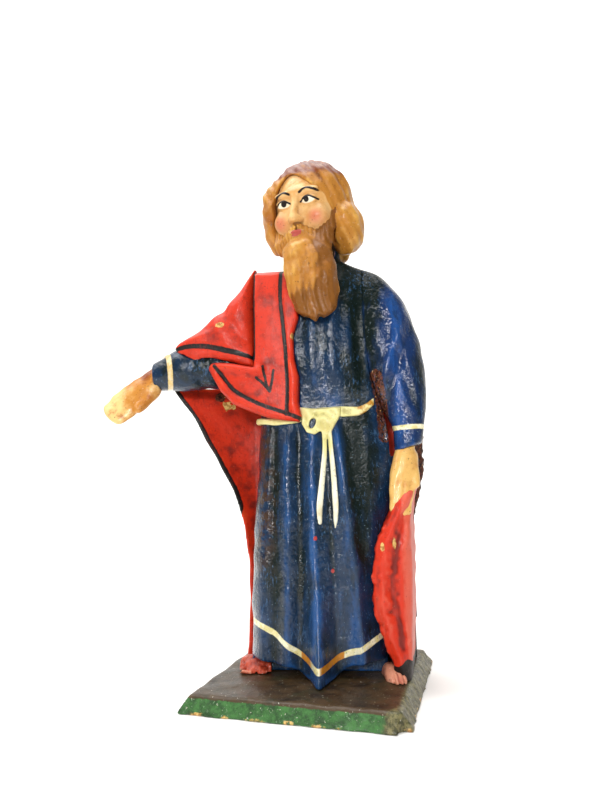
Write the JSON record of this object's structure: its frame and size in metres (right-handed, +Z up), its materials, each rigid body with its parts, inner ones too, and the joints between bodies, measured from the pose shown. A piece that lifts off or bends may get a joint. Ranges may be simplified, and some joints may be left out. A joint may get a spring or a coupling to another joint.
{
  "type": "carved wooden figurine",
  "caption": "Hand-carved and painted wooden figurine of a robed, bearded man with one arm held out, pegged and glued on a small bevelled square base.",
  "frame": {"origin": "centre of the base's underside, which rests on the table", "axes": "+Z up the figure; the base's front edge faces -Y; the figure's raised right arm points to -X"},
  "size_m": [0.106, 0.066, 0.1775],
  "materials": {
    "base_paint": "worn green and brown oil paint under old varnish",
    "tunic_paint": "dark blue oil paint, crazed gloss varnish",
    "head_paint": "ochre-brown hair and pale ochre flesh, oil paint under varnish",
    "mantle_paint": "vermilion oil paint, chipped to wood at its edges",
    "flesh_paint": "ochre flesh paint under varnish",
    "foot_paint": "pink-orange flesh paint, worn",
    "trim_paint": "pale ochre-yellow paint, satin",
    "bare_wood": "unpainted turned dowel",
    "nail_steel": "plain wire nail, dulled"
  },
  "bodies": {
    "root": {"base_block": "base_paint", "tunic_body": "tunic_paint", "head_block": "head_paint", "mantle_front": "mantle_paint", "mantle_arm": "mantle_paint", "cloak_board": "mantle_paint", "mantle_side": "mantle_paint", "right_sleeve": "tunic_paint", "right_hand": "flesh_paint", "left_arm": "tunic_paint", "left_hand": "flesh_paint", "right_foot": "foot_paint", "left_foot": "foot_paint", "belt_band": "trim_paint", "belt_bow": "trim_paint", "neck_dowel": "bare_wood", "base_dowel": "bare_wood", "base_nails": "nail_steel", "right_arm_dowel": "bare_wood", "left_arm_pegs": "bare_wood", "cloak_pegs": "bare_wood", "mantle_pegs": "bare_wood", "side_peg": "bare_wood", "wrist_pegs": "bare_wood"}
  },
  "joints": []
}
